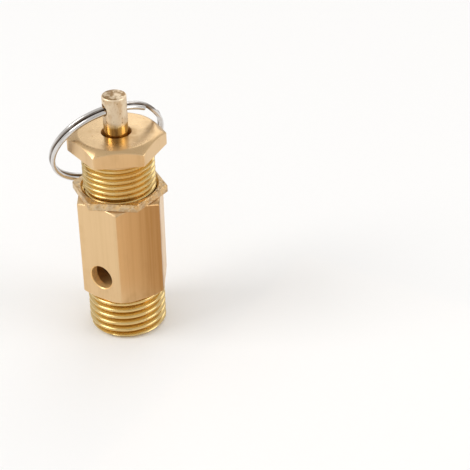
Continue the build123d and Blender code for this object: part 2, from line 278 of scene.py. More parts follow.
# ---- materials
class Finish:
    """A node material in the making, with short ways to add its nodes."""

    def __init__(self, name):
        self.material = bpy.data.materials.new(name)
        self.material.use_nodes = True
        self.tree = self.material.node_tree
        self.shader = self.tree.nodes["Principled BSDF"]
        self.object_place = self.add("ShaderNodeTexCoord").outputs["Object"]

    def add(self, kind, inputs=None, **settings):
        node = self.tree.nodes.new(kind)
        for key, value in settings.items():
            setattr(node, key, value)
        for key, value in (inputs or {}).items():
            self.put(node.inputs[key], value)
        return node

    def put(self, socket, value):
        if isinstance(value, bpy.types.NodeSocket):
            self.tree.links.new(value, socket)
        elif isinstance(value, (int, float)):
            socket.default_value = value
        else:
            vector = tuple(value)
            padded = vector + (1.0,) * (len(socket.default_value) - len(vector))
            socket.default_value = padded

    def noise(self, scale, detail=3.0, roughness=0.55, place=None):
        """Noise whose grains lie along an axis where the scale, per metre, is smaller."""
        spread = self.add(
            "ShaderNodeMapping", {"Vector": place or self.object_place, "Scale": scale}
        )
        node = self.add(
            "ShaderNodeTexNoise",
            {"Vector": spread.outputs[0], "Scale": 1.0, "Detail": detail, "Roughness": roughness},
        )
        return node.outputs["Fac"]

    def ramp(self, value, start, end, low_value=0.0, high_value=1.0):
        span = {"From Min": start, "From Max": end, "To Min": low_value, "To Max": high_value}
        inputs = {"Value": value, **span}
        node = self.add("ShaderNodeMapRange", inputs, interpolation_type="SMOOTHSTEP")
        return node.outputs["Result"]

    def math(self, operation, first, second):
        node = self.add("ShaderNodeMath", operation=operation)
        self.put(node.inputs[0], first)
        self.put(node.inputs[1], second)
        return node.outputs[0]

    def times(self, first, second):
        return self.math("MULTIPLY", first, second)

    def plus(self, first, second):
        return self.math("ADD", first, second)

    def mix(self, share, first, second):
        node = self.add("ShaderNodeMix", data_type="RGBA")
        self.put(node.inputs[0], share)
        self.put(node.inputs[6], first)
        self.put(node.inputs[7], second)
        return node.outputs[2]

    def parts(self):
        """The object's own X, Y and Z."""
        return self.add("ShaderNodeSeparateXYZ", {"Vector": self.object_place}).outputs

    def from_axis(self):
        """A place whose X is the distance from the valve's axis, for marks left by turning."""
        parts = self.parts()
        flat = self.add("ShaderNodeCombineXYZ", {"X": parts["X"], "Y": parts["Y"]})
        distance = self.add("ShaderNodeVectorMath", {0: flat.outputs[0]}, operation="LENGTH")
        place = {"X": distance.outputs["Value"], "Z": parts["Z"]}
        return self.add("ShaderNodeCombineXYZ", place).outputs[0]

    def attribute(self, name):
        return self.add("ShaderNodeAttribute", attribute_name=name).outputs["Fac"]

    def bump(self, height, strength, distance):
        node = self.add(
            "ShaderNodeBump", {"Height": height, "Strength": strength, "Distance": distance}
        )
        self.put(self.shader.inputs["Normal"], node.outputs[0])

    def finish(self, base, roughness, metallic=1.0):
        self.put(self.shader.inputs["Base Color"], base)
        self.put(self.shader.inputs["Roughness"], roughness)
        self.shader.inputs["Metallic"].default_value = metallic
        return self.material


def tint(rgb, share, lift=0.0):
    """A darker or paler version of a colour."""
    return tuple(min(1.0, channel * share + lift) for channel in rgb)


def drawn_brass(name, base, line, tarnish):
    """Satin brass bar: fine lines along Z, stains near its foot, painted shade with stronger lines down the marked
    side, and a painted highlight along its edges.
    """
    f = Finish(name)
    broad = f.noise((1500, 1500, 28), 2.0)
    fine = f.noise((7000, 7000, 60), 4.0, 0.65)
    stains = f.noise((260, 260, 130), 3.0, 0.6)
    # Share of the painted shade down one side of the body, where the draw lines are also stronger
    dull_and_shade = f.attribute("tarnish")
    lines = f.times(f.ramp(broad, 0.40, 0.75), f.plus(0.12, f.times(dull_and_shade, 0.45)))
    fine_lines = f.times(f.ramp(fine, 0.5, 0.85), f.plus(0.22, dull_and_shade))
    lines = f.plus(f.times(lines, 0.7), fine_lines)
    foot = f.ramp(f.parts()["Z"], INLET_LENGTH, INLET_LENGTH + 4.0 * MM, 0.62, 0.20)
    stained_and_shaded = f.mix(f.times(f.ramp(stains, 0.48, 0.70), foot), base, line)
    # Painted shade: the marked side darkened unevenly towards the brown shade colour
    painted_shade_share = f.times(f.ramp(broad, 0.3, 0.7, 0.82, 1.12), dull_and_shade)
    stained_and_shaded = f.mix(painted_shade_share, stained_and_shaded, tarnish)
    metal = f.mix(lines, stained_and_shaded, line)
    # Painted highlight: paler brass along the edge band
    metal = f.mix(f.times(f.attribute("wear"), 0.12), metal, tint(base, 1.10, 0.03))
    f.bump(f.plus(fine, broad), 0.35, 0.00002)
    return f.finish(metal, f.ramp(stains, 0.3, 0.75, 0.30, 0.42))


def cut_brass(name, base, line):
    """Bright thread flanks with fine tool lines round the axis."""
    f = Finish(name)
    round_axis = f.from_axis()
    tool = f.noise((5200, 1, 5200), 2.0, place=round_axis)
    patches = f.noise((420, 420, 300), 3.0)
    share = f.times(f.ramp(tool, 0.48, 0.8), 0.45)
    metal = f.mix(share, base, line)
    metal = f.mix(f.times(f.ramp(patches, 0.55, 0.8), 0.25), metal, line)
    f.bump(tool, 0.25, 0.000012)
    return f.finish(metal, f.ramp(patches, 0.3, 0.7, 0.16, 0.28))


def turned_brass(name, base, line):
    """Lathe-turned face with rings round the axis, smudges, a few dark specks and painted shade along its edges.
    """
    f = Finish(name)
    rings = f.noise((9000, 1, 2500), 3.0, 0.6, place=f.from_axis())
    smudge = f.noise((230, 230, 230), 4.0, 0.6)
    specks = f.noise((1700, 1700, 1700), 1.0)
    metal = f.mix(f.times(f.ramp(rings, 0.5, 0.85), 0.30), base, line)
    metal = f.mix(f.times(f.ramp(smudge, 0.50, 0.68), 0.60), metal, line)
    metal = f.mix(f.times(f.ramp(specks, 0.70, 0.78), 0.7), metal, line)
    # Painted shade: darker edges along the edge band, standing in for dark reflections
    metal = f.mix(f.times(f.attribute("wear"), 0.22), metal, line)
    f.bump(rings, 0.22, 0.000012)
    return f.finish(metal, f.ramp(smudge, 0.3, 0.7, 0.24, 0.38))


def bore_brass(name, base):
    """Drilled brass, dulled to half metal, with level tool lines, and a colour brightened as painted light inside
    the dark bores.
    """
    f = Finish(name)
    lines = f.noise((900, 900, 6500), 3.0)
    metal = f.mix(f.times(f.ramp(lines, 0.45, 0.75), 0.35), base, tint(base, 0.45))
    f.bump(lines, 0.25, 0.000015)
    return f.finish(metal, f.ramp(lines, 0.3, 0.7, 0.28, 0.44), 0.5)


def tumbled_brass(name, base, grey, line):
    """Sawn and tumbled brass: rough greyish patches, pits, and painted shade darkening its edges."""
    f = Finish(name)
    patches = f.noise((640, 640, 640), 4.0, 0.65)
    pits = f.noise((2300, 2300, 2300), 3.0, 0.7)
    metal = f.mix(f.ramp(patches, 0.40, 0.62), base, grey)
    metal = f.mix(f.times(f.ramp(patches, 0.54, 0.66), 0.60), metal, line)
    metal = f.mix(f.times(f.ramp(pits, 0.52, 0.66), 0.80), metal, line)
    # Painted shade: darker edges along the edge band, standing in for dark reflections
    metal = f.mix(f.times(f.attribute("wear"), 0.35), metal, line)
    f.bump(f.plus(pits, f.times(patches, 1.5)), 0.9, 0.00014)
    return f.finish(metal, f.ramp(patches, 0.35, 0.65, 0.27, 0.46))


def rod_brass(name, bright, dull_and_shade, line):
    """Stem rod: polished below, dulled with fine pits above, scraped on its end, with a painted highlight round
    its top edge.
    """
    f = Finish(name)
    dull_from = HEAD_TOP + 1.9 * MM
    dull_to = dull_from + 1.1 * MM
    height = f.parts()["Z"]
    ragged = f.times(f.noise((700, 700, 500), 2.0), 0.0012)
    share = f.ramp(f.plus(height, ragged), dull_from, dull_to)
    lines = f.noise((1300, 1300, 60), 3.0)
    pits = f.noise((1900, 1900, 1900), 1.0, 0.5)
    mottle = f.noise((900, 900, 500), 4.0, 0.65)
    dark = tint(line, 0.62)
    lower = f.mix(f.times(f.ramp(lines, 0.44, 0.62), 0.85), bright, dark)
    upper = f.mix(f.times(f.ramp(mottle, 0.42, 0.68), 0.5), dull_and_shade, line)
    upper = f.mix(f.ramp(pits, 0.70, 0.75), upper, dark)
    # Painted highlight: a paler band round the rounded top edge
    rim = f.ramp(height, STEM_TOP - 0.30 * MM, STEM_TOP - 0.12 * MM, 0.0, 0.8)
    upper = f.mix(rim, upper, tint(dull_and_shade, 1.25))
    end_face = f.ramp(height, STEM_TOP - 0.04 * MM, STEM_TOP - 0.01 * MM)
    scraped = f.mix(f.ramp(mottle, 0.40, 0.60), dull_and_shade, dark)
    upper = f.mix(end_face, upper, scraped)
    f.bump(f.plus(pits, f.times(lines, 0.5)), 0.3, 0.00003)
    return f.finish(f.mix(share, lower, upper), f.ramp(share, 0.0, 1.0, 0.13, 0.42))


def nickel_wire(name, base, stain_and_shade):
    """Plated spring wire: bright, with a fine grain, darker stains and painted shade in the groove between turns.
    """
    f = Finish(name)
    patches = f.noise((350, 350, 350), 4.0, 0.6)
    fine = f.noise((4200, 4200, 4200), 2.0)
    # Painted shade where the two turns of wire lie against each other
    groove_shade_share = f.times(f.attribute("groove"), f.ramp(patches, 0.25, 0.6, 0.5, 1.0))
    metal = f.mix(f.times(f.ramp(patches, 0.5, 0.75), 0.25), base, stain_and_shade)
    metal = f.mix(groove_shade_share, metal, stain_and_shade)
    f.bump(fine, 0.15, 0.00001)
    return f.finish(metal, f.ramp(patches, 0.3, 0.7, 0.14, 0.26))


def scaled_steel(name, base):
    """Oiled spring wire with fine patches of scale."""
    f = Finish(name)
    scale = f.noise((1200, 1200, 1200), 4.0, 0.65)
    metal = f.mix(f.times(f.ramp(scale, 0.4, 0.7), 0.6), base, tint(base, 0.4))
    f.bump(scale, 0.2, 0.00002)
    return f.finish(metal, f.ramp(scale, 0.3, 0.7, 0.25, 0.45))


def moulded_rubber(name, base):
    """Moulded rubber with a fine grain and a grey bloom."""
    f = Finish(name)
    grain = f.noise((5000, 5000, 5000), 3.0)
    bloom = f.noise((500, 500, 500), 3.0)
    rubber = f.mix(f.ramp(bloom, 0.4, 0.7), base, tint(base, 1.0, 0.05))
    f.bump(grain, 0.3, 0.00002)
    return f.finish(rubber, f.ramp(grain, 0.3, 0.7, 0.55, 0.8), 0.0)


# Each finish: what makes it, and the colours that it takes.
FINISHES = {
    "drawn_brass": (drawn_brass, ("drawn", "drawn_line", "tarnish")),
    "cut_brass": (cut_brass, ("cut", "cut_line")),
    "turned_brass": (turned_brass, ("turned", "drawn_line")),
    "bore_brass": (bore_brass, ("bore",)),
    "tumbled_brass": (tumbled_brass, ("nut", "nut_grey", "drawn_line")),
    "rod_brass": (rod_brass, ("rod", "rod_dull", "drawn_line")),
    "nickel_wire": (nickel_wire, ("nickel", "nickel_stain_and_shade")),
    "scaled_steel": (scaled_steel, ("steel",)),
    "moulded_rubber": (moulded_rubber, ("rubber",)),
}


def finish(name):
    """The finish of that name, made from the scene's colours the first time it is asked for."""
    ready = bpy.data.materials.get(name)
    if ready:
        return ready
    maker, wanted = FINISHES[name]
    colours = bpy.context.scene.valve_colours
    return maker(name, *(tuple(getattr(colours, colour)) for colour in wanted))


# ---- shells turned on Z
class Rim:
    """One end of a hexagonal wall: its face, which way it looks, and the cone on its corners."""

    parts = ("inner", "face", "cone", "foot", "wall", "side")

    # The last width is that of the band along each edge where highlight or shade is painted
    def __init__(self, face, way, edge=1.0, soft=0.08 * MM, wear=0.3 * MM):
        self.face = face
        self.way = way
        self.edge = edge
        self.soft = soft
        self.wear = wear

    def drop(self, radius):
        return max(0.0, radius - self.edge) * tan(HEX_CHAMFER)

    def at(self, part, reach):
        """Radius and height of a part of the rim where the wall is that far from the axis."""
        if part == "inner":
            return min(self.edge, reach) - self.soft - self.wear, self.face
        if part == "face":
            return min(self.edge, reach) - self.soft, self.face
        if part == "cone":
            radius = min(self.edge + self.soft, reach - self.soft)
            return radius, self.face - self.way * self.drop(radius)
        if part == "foot":
            radius = reach - self.soft
            return radius, self.face - self.way * self.drop(radius)
        below = self.drop(reach) + self.soft
        if part == "side":
            below += self.wear
        return reach, self.face - self.way * below


def hexagon(zone, bottom, top):
    """Outline of a hexagonal wall between two rims, from the bottom face to the top face."""
    lower = [(zone, bottom, part) for part in Rim.parts]
    upper = [(zone, top, part) for part in reversed(Rim.parts)]
    return lower + upper


def plain(zone, *points):
    """Outline points of a round wall."""
    return [(zone, None, point) for point in points]


def spin(bm, geom, sweep, steps, rise=0.0, merge=False):
    """Sweeps geometry round Z, rising evenly, and returns the last section."""
    made = bmesh.ops.spin(
        bm,
        geom=geom,
        cent=(0, 0, 0),
        axis=(0, 0, 1),
        dvec=(0, 0, rise / steps),
        angle=sweep,
        steps=steps,
        use_merge=merge,
    )
    return made["geom_last"]


def turned_shell(outline, zones, steps, flats=0.0, loop=True):
    """Spins an outline round Z and presses its hexagonal stretches flat.

    Each outline entry is a zone, a rim or None, and the rim's part or a radius and height.
    A zone's place in zones is the material of the faces that start at its points.
    """
    bm = bmesh.new()
    number = bm.verts.layers.int.new("number")
    # Band along the edges where highlight is painted on drawn brass and shade on turned and tumbled brass
    wear = bm.verts.layers.float.new("wear")
    # Share of the painted shade down one side of the body
    bm.verts.layers.float.new("tarnish")
    corner = flats / 2 / cos(HEX_CHAMFER)
    row = []
    for i, (zone, rim, point) in enumerate(outline):
        radius, height = rim.at(point, corner) if rim else point
        vert = bm.verts.new((radius, 0, height))
        vert[number] = i
        row.append(vert)
    pairs = list(zip(row, row[1:]))
    if loop:
        pairs.append((row[-1], row[0]))
    edges = [bm.edges.new(pair) for pair in pairs]
    spin(bm, row + edges, tau, steps, merge=True)
    last = len(outline) - 1
    for face in bm.faces:
        ends = sorted({vert[number] for vert in face.verts})
        start = ends[-1] if ends[0] == 0 and ends[-1] == last and loop else ends[0]
        face.material_index = zones.index(outline[start][0])
    press_flats(bm, outline, number, wear, flats, tau / steps)
    bmesh.ops.remove_doubles(bm, verts=bm.verts, dist=MERGE)
    bmesh.ops.recalc_face_normals(bm, faces=bm.faces)
    return bm


def press_flats(bm, outline, number, wear, flats, column):
    """Moves the hexagonal rows onto six flats, with a small round at each corner."""
    pull = radians(0.9)
    fair = radians(3.2)
    side_angle = tau / SIDES
    for vert in bm.verts:
        zone, rim, part = outline[vert[number]]
        if not rim:
            continue
        bearing = atan2(vert.co.y, vert.co.x)
        nearest = round(bearing / side_angle) * side_angle
        away = bearing - nearest
        columns_away = round(abs(away) / column)
        if columns_away == 1:
            away = pull if away > 0 else -pull
        elif columns_away == 2:
            away = fair if away > 0 else -fair
        reach = flats / 2 / cos(side_angle / 2 - max(abs(away), pull))
        if columns_away == 0:
            reach = (reach * cos(pull) + flats / 2 / cos(side_angle / 2)) / 2
        radius, height = rim.at(part, reach)
        vert.co = (radius * cos(nearest + away), radius * sin(nearest + away), height)
        # Faces, cones, feet, walls and the corners carry the painted edge band
        at_corner = columns_away <= 1 and part in ("wall", "side")
        vert[wear] = 1.0 if part in ("face", "cone", "foot", "wall") or at_corner else 0.0


# ---- threads and coils
def helix_ridge(base, tip, pitch, start, turns, ridge, bulge=0.0, shape=None):
    """A thread's ridge as a closed shell, standing on a wall of radius base up to radius tip.

    ridge is its base and tip widths as shares of the pitch. bulge rounds the flanks from
    straight (0) to full (1). shape(radius, height) may change the radius of any point.
    """
    base_width, tip_width = (pitch * share for share in ridge)
    flank = 6
    depth = tip - base
    sunk = base - RIDGE_SUNK * (1 if depth > 0 else -1)
    half = [(base_width / 2, 0.0)]
    for i in range(1, flank + 1):
        share = i / flank
        rise = (1 - bulge) * share + bulge * sin(share * pi / 2)
        half.append((base_width / 2 + (tip_width - base_width) / 2 * share, rise))
    outline = [(sunk, -base_width / 2)]
    outline += [(base + depth * rise, -offset) for offset, rise in half]
    outline += [(base + depth * rise, offset) for offset, rise in reversed(half)]
    outline += [(sunk, base_width / 2)]
    bm = bmesh.new()
    row = [bm.verts.new((radius, 0, start + offset)) for radius, offset in outline]
    edges = [bm.edges.new(pair) for pair in zip(row, row[1:] + row[:1])]
    spin(bm, row + edges, tau, THREAD_STEPS, rise=pitch)
    first_turn = bm.verts[:] + bm.edges[:] + bm.faces[:]
    for turn in range(1, ceil(turns)):
        copy = bmesh.ops.duplicate(bm, geom=first_turn)["geom"]
        verts = only(bmesh.types.BMVert, copy)
        bmesh.ops.translate(bm, verts=verts, vec=(0, 0, pitch * turn))
    bmesh.ops.remove_doubles(bm, verts=bm.verts, dist=0.001 * MM)
    close(bm)
    if shape:
        for vert in bm.verts:
            radius = vert.co.xy.length
            changed = shape(radius, vert.co.z) / radius
            vert.co.x *= changed
            vert.co.y *= changed
    bmesh.ops.recalc_face_normals(bm, faces=bm.faces)
    return bm


def only(kind, parts):
    return [part for part in parts if isinstance(part, kind)]


def close(bm):
    """Fills every open end."""
    bmesh.ops.holes_fill(bm, edges=[edge for edge in bm.edges if edge.is_boundary], sides=0)


def trim(bm, height, keep_above):
    """Cuts a closed shell off level and closes the cut."""
    cut = bmesh.ops.bisect_plane(
        bm,
        geom=bm.verts[:] + bm.edges[:] + bm.faces[:],
        dist=MERGE,
        plane_co=(0, 0, height),
        plane_no=(0, 0, 1),
        clear_inner=keep_above,
        clear_outer=not keep_above,
    )
    bmesh.ops.holes_fill(bm, edges=only(bmesh.types.BMEdge, cut["geom_cut"]), sides=0)
    bmesh.ops.recalc_face_normals(bm, faces=bm.faces)


def join(bm, other, material_index):
    """Adds a second shell to a mesh, with its own material."""
    for face in other.faces:
        face.material_index = material_index
    carrier = bpy.data.meshes.new("carrier")
    other.to_mesh(carrier)
    other.free()
    bm.from_mesh(carrier)
    bpy.data.meshes.remove(carrier)


def wire_section(bm, centre, outward, radius, points):
    """A round section of wire, in the plane of Z and the outward direction."""
    turn_to = Matrix.Rotation(pi / 2, 4, "X")
    face_out = Matrix.Rotation(atan2(outward.y, outward.x), 4, "Z")
    matrix = Matrix.Translation(centre) @ face_out @ turn_to
    made = bmesh.ops.create_circle(
        bm, cap_ends=False, radius=radius, segments=points, matrix=matrix
    )
    verts = made["verts"]
    edges = list({edge for vert in verts for edge in vert.link_edges})
    return verts, edges


# ---- objects
def turn_on_axis(bm, turn):
    """Turns a whole mesh about the valve's axis."""
    bmesh.ops.rotate(bm, verts=bm.verts, cent=(0, 0, 0), matrix=Matrix.Rotation(turn, 3, "Z"))


def make_object(name, bm, finishes, crease=32.0):
    """A finished object from a mesh in the making, smooth but for edges sharper than crease."""
    mesh = bpy.data.meshes.new(name)
    bm.to_mesh(mesh)
    bm.free()
    for label in finishes:
        mesh.materials.append(finish(label))
    mesh.shade_smooth()
    mesh.set_sharp_from_angle(angle=radians(crease))
    piece = bpy.data.objects.new(name, mesh)
    bpy.context.scene.collection.objects.link(piece)
    return piece


def drill(bm, cutter):
    """The mesh with the cutter's shape taken out of it."""
    halves = []
    for label, source in (("work", bm), ("tool", cutter)):
        mesh = bpy.data.meshes.new(label)
        source.to_mesh(mesh)
        source.free()
        halves.append(bpy.data.objects.new(label, mesh))
        bpy.context.scene.collection.objects.link(halves[-1])
    work, tool = halves
    cut = work.modifiers.new("Drill", "BOOLEAN")
    cut.operation = "DIFFERENCE"
    cut.solver = "EXACT"
    cut.object = tool
    bpy.context.view_layer.update()
    result = work.evaluated_get(bpy.context.evaluated_depsgraph_get())
    drilled = bmesh.new()
    drilled.from_mesh(result.to_mesh())
    result.to_mesh_clear()
    before = len(work.data.vertices)
    for piece in halves:
        mesh = piece.data
        bpy.data.objects.remove(piece)
        bpy.data.meshes.remove(mesh)
    if len(drilled.verts) == before:
        raise RuntimeError("the drill missed the piece")
    return drilled


def drill_bit(radius, near, far, axis, centre, chamfer, material_index, both_ends=False):
    """A round cutter from near to far along an axis, flared where it enters the piece."""
    over = 1.0 * MM
    bm = bmesh.new()
    outline = [(0, near), (radius, near)]
    if both_ends:
        flared = radius + chamfer + over
        outline = [(0, near - over), (flared, near - over), (radius, near + chamfer)]
    outline += [(radius, far - chamfer), (radius + chamfer + over, far + over), (0, far + over)]
    row = [bm.verts.new((distance, 0, along)) for distance, along in outline]
    edges = [bm.edges.new(pair) for pair in zip(row, row[1:])]
    spin(bm, row + edges, tau, BIT_SIDES, merge=True)
    bmesh.ops.remove_doubles(bm, verts=bm.verts, dist=MERGE)
    bmesh.ops.recalc_face_normals(bm, faces=bm.faces)
    for face in bm.faces:
        face.material_index = material_index
    # Half a step round keeps the bit's edges off the seams of the wall that it cuts.
    bm.transform(Matrix.Rotation(tau / BIT_SIDES / 2, 4, "Z"))
    turn = Vector((0, 0, 1)).rotation_difference(axis).to_matrix().to_4x4()
    bm.transform(Matrix.Translation(centre) @ turn)
    return bm


class PieceOperator:
    """What the operators that make pieces share."""

    bl_options = {"REGISTER", "UNDO"}


class RELIEF_VALVE_OT_body(PieceOperator, bpy.types.Operator):
    """Makes the hexagonal body with its inlet thread, bores and discharge holes"""

    bl_idname = "relief_valve.body"
    bl_label = "Valve body"

    def execute(self, context):
        s = context.scene.valve_body_sizes
        t = context.scene.valve_fitting_sizes
        finishes = ("drawn_brass", "cut_brass", "bore_brass", "turned_brass")
        soft = 0.06 * MM
        hole_chamfer = 0.15 * MM
        # Width of the band along the body's edges where a highlight is painted
        painted_edge_width = 0.2 * MM
        core = INLET_RADIUS - s.inlet_depth
        root = t.crest + t.clearance
        thread_end = BODY_TOP - s.thread_length
        flare = 0.25 * MM
        mouth = INLET_BORE + flare
        outline = plain(
            "cut_brass", (mouth + soft, 0), (core - soft, 0), (core, soft), (core, INLET_LENGTH)
        )
        outline += hexagon(
            "drawn_brass",
            Rim(INLET_LENGTH, -1, s.edge, wear=painted_edge_width),
            Rim(BODY_TOP, 1, s.edge, wear=painted_edge_width),
        )
        outline += plain("turned_brass", (root + soft, BODY_TOP))
        outline += plain(
            "bore_brass",
            (root, BODY_TOP - soft),
            (root, thread_end),
            (s.chamber, thread_end - 0.4 * MM),
            (s.chamber, s.chamber_floor),
            (s.seat_base, s.chamber_floor),
            (s.seat_land, s.seat),
            (s.orifice, s.seat),
            (s.orifice, s.floor),
            (s.floor_radius, s.floor),
            (s.step_radius, s.step_top),
            (s.step_radius, s.bore_depth),
            (INLET_BORE, s.bore_depth - 0.3 * MM),
            (INLET_BORE, flare),
            (mouth, soft),
        )
        bm = turned_shell(outline, finishes, COLUMNS, s.flats)
        self.tarnish(bm)
        centre = Vector((0, 0, INLET_LENGTH + s.hole_height))
        bore = finishes.index("bore_brass")
        for axis in (Vector((0, -1, 0)), Vector((0, 1, 0))):
            bit = drill_bit(
                s.hole_radius, s.hole_end, s.flats / 2, axis, centre, hole_chamfer, bore
            )
            bm = drill(bm, bit)

        def inlet_tip(radius, z):
            return min(radius, INLET_RADIUS - s.tip_chamfer + z)

        ridge = helix_ridge(
            core,
            INLET_RADIUS,
            s.inlet_pitch,
            -0.5 * s.inlet_pitch,
            INLET_LENGTH / s.inlet_pitch + 1,
            INLET_RIDGE,
            bulge=0.9,
            shape=inlet_tip,
        )
        trim(ridge, 0.0, keep_above=True)
        trim(ridge, INLET_LENGTH + soft, keep_above=False)
        join(bm, ridge, finishes.index("cut_brass"))
        turns = s.thread_length / t.pitch
        start = thread_end - 0.5 * t.pitch
        inner = helix_ridge(root, s.chamber, t.pitch, start, turns, BODY_RIDGE)
        trim(inner, BODY_TOP - 0.3 * MM, keep_above=False)
        join(bm, inner, bore)
        piece = make_object("valve_body_shell", bm, finishes)
        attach(piece, "valve")
        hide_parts("valve_body")
        return {"FINISHED"}

    def tarnish(self, bm):
        """Marks the painted shade, which deepens across one flat towards the corner at +X."""
        layer = bm.verts.layers.float["tarnish"]
        first, last = radians(-66), radians(6)
        for vert in bm.verts:
            share = (atan2(vert.co.y, vert.co.x) - first) / (last - first)
            vert[layer] = 0.95 * share if 0 < share < 1 else 0.0


class RELIEF_VALVE_OT_locknut(PieceOperator, bpy.types.Operator):
    """Makes the thin hexagonal locknut"""

    bl_idname = "relief_valve.locknut"
    bl_label = "Locknut"

    def execute(self, context):
        t = context.scene.valve_fitting_sizes
        finishes = ("tumbled_brass", "cut_brass")
        root = t.crest + t.clearance
        sink = root + t.nut_sink
        outline = plain("cut_brass", (root, BODY_TOP + t.nut_sink))
        outline += plain("tumbled_brass", (sink, BODY_TOP))
        outline += hexagon(
            "tumbled_brass",
            Rim(BODY_TOP, -1, soft=0.10 * MM, wear=0.12 * MM),
            Rim(NUT_TOP, 1, soft=t.nut_chamfer, wear=0.12 * MM),
        )
        outline += plain("cut_brass", (sink, NUT_TOP), (root, NUT_TOP - t.nut_sink))
        bm = turned_shell(outline, finishes, COLUMNS, t.nut_flats)
        turn_on_axis(bm, t.nut_turn)
        turns = 4
        start = BODY_TOP - 1.5 * t.pitch
        ridge = helix_ridge(root, t.nut_bore, t.pitch, start, turns, NUT_RIDGE)
        trim(ridge, BODY_TOP + t.nut_sink, keep_above=True)
        trim(ridge, NUT_TOP - t.nut_sink, keep_above=False)
        join(bm, ridge, finishes.index("cut_brass"))
        piece = make_object("locknut_shell", bm, finishes)
        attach(piece, "locknut")
        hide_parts("locknut")
        return {"FINISHED"}


class RELIEF_VALVE_OT_bonnet(PieceOperator, bpy.types.Operator):
    """Makes the adjusting bonnet: hexagonal head, collar, thread and spring pocket"""

    bl_idname = "relief_valve.bonnet"
    bl_label = "Bonnet"

    def execute(self, context):
        t = context.scene.valve_fitting_sizes
        finishes = ("drawn_brass", "cut_brass", "bore_brass", "turned_brass")
        soft = 0.08 * MM
        core = t.crest - t.depth
        head_bottom = HEAD_TOP - t.head_height
        collar = head_bottom - t.collar
        ceiling = HEAD_TOP - t.roof
        outline = plain(
            "cut_brass",
            (t.bonnet_bore, BONNET_BOTTOM),
            (core - soft, BONNET_BOTTOM),
            (core, BONNET_BOTTOM + soft),
            (core, collar - 0.12 * MM),
            (t.crest - soft, collar),
        )
        outline += plain("turned_brass", (t.crest, collar + soft), (t.crest, head_bottom))
        outline += hexagon(
            "drawn_brass", Rim(head_bottom, -1, soft=0.06 * MM), Rim(HEAD_TOP, 1, t.head_edge)
        )
        for i, (zone, rim, part) in enumerate(outline):
            if rim and rim.way > 0 and part in ("foot", "cone", "face", "inner"):
                outline[i] = ("turned_brass", rim, part)
        outline += plain("turned_brass", (t.stem_hole + soft, HEAD_TOP))
        outline += plain(
            "bore_brass",
            (t.stem_hole, HEAD_TOP - soft),
            (t.stem_hole, ceiling),
            (t.bonnet_bore, ceiling),
        )
        bm = turned_shell(outline, finishes, COLUMNS, t.head_flats)
        turn_on_axis(bm, t.head_turn)
        engaged = round((BODY_TOP - BONNET_BOTTOM) / t.pitch)
        start = BODY_TOP - engaged * t.pitch
        turns = (collar - start) / t.pitch + 0.6

        def lower_end(radius, z):
            chamfer = t.crest - 0.4 * MM + (z - BONNET_BOTTOM)
            return min(radius, max(chamfer, core - RIDGE_SUNK))

        ridge = helix_ridge(core, t.crest, t.pitch, start, turns, BONNET_RIDGE, 0.5, lower_end)
        trim(ridge, BONNET_BOTTOM, keep_above=True)
        trim(ridge, collar + soft, keep_above=False)
        join(bm, ridge, finishes.index("cut_brass"))
        piece = make_object("bonnet_shell", bm, finishes)
        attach(piece, "bonnet")
        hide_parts("bonnet")
        return {"FINISHED"}


class RELIEF_VALVE_OT_stem(PieceOperator, bpy.types.Operator):
    """Makes the stem with its cross hole"""

    bl_idname = "relief_valve.stem"
    bl_label = "Stem"

    def execute(self, context):
        t = context.scene.valve_fitting_sizes
        finishes = ("rod_brass", "bore_brass")
        radius = width("stem", 0) / 2
        soft = 0.15 * MM
        hole_chamfer = 0.1 * MM
        curve = [
            (radius - t.stem_round * (1 - cos(a)), STEM_TOP - t.stem_round * (1 - sin(a)))
            for a in (radians(step) for step in (0, 22.5, 45, 67.5, 90))
        ]
        outline = plain(
            "rod_brass",
            (0, STEM_BOTTOM),
            (t.stem_tail - soft, STEM_BOTTOM),
            (t.stem_tail, STEM_BOTTOM + soft),
            (t.stem_tail, t.tail_top),
            (radius - soft, t.tail_top),
            (radius, t.tail_top + soft),
            *curve,
            (0, STEM_TOP),
        )
        bm = turned_shell(outline, finishes, STEM_COLUMNS, loop=False)
        bit = drill_bit(
            t.cross_hole, -radius, radius, HOLE_AXIS, HOLE_CENTRE, hole_chamfer, 1, both_ends=True
        )
        bm = drill(bm, bit)
        piece = make_object("stem_rod", bm, finishes)
        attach(piece, "stem")
        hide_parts("stem")
        return {"FINISHED"}


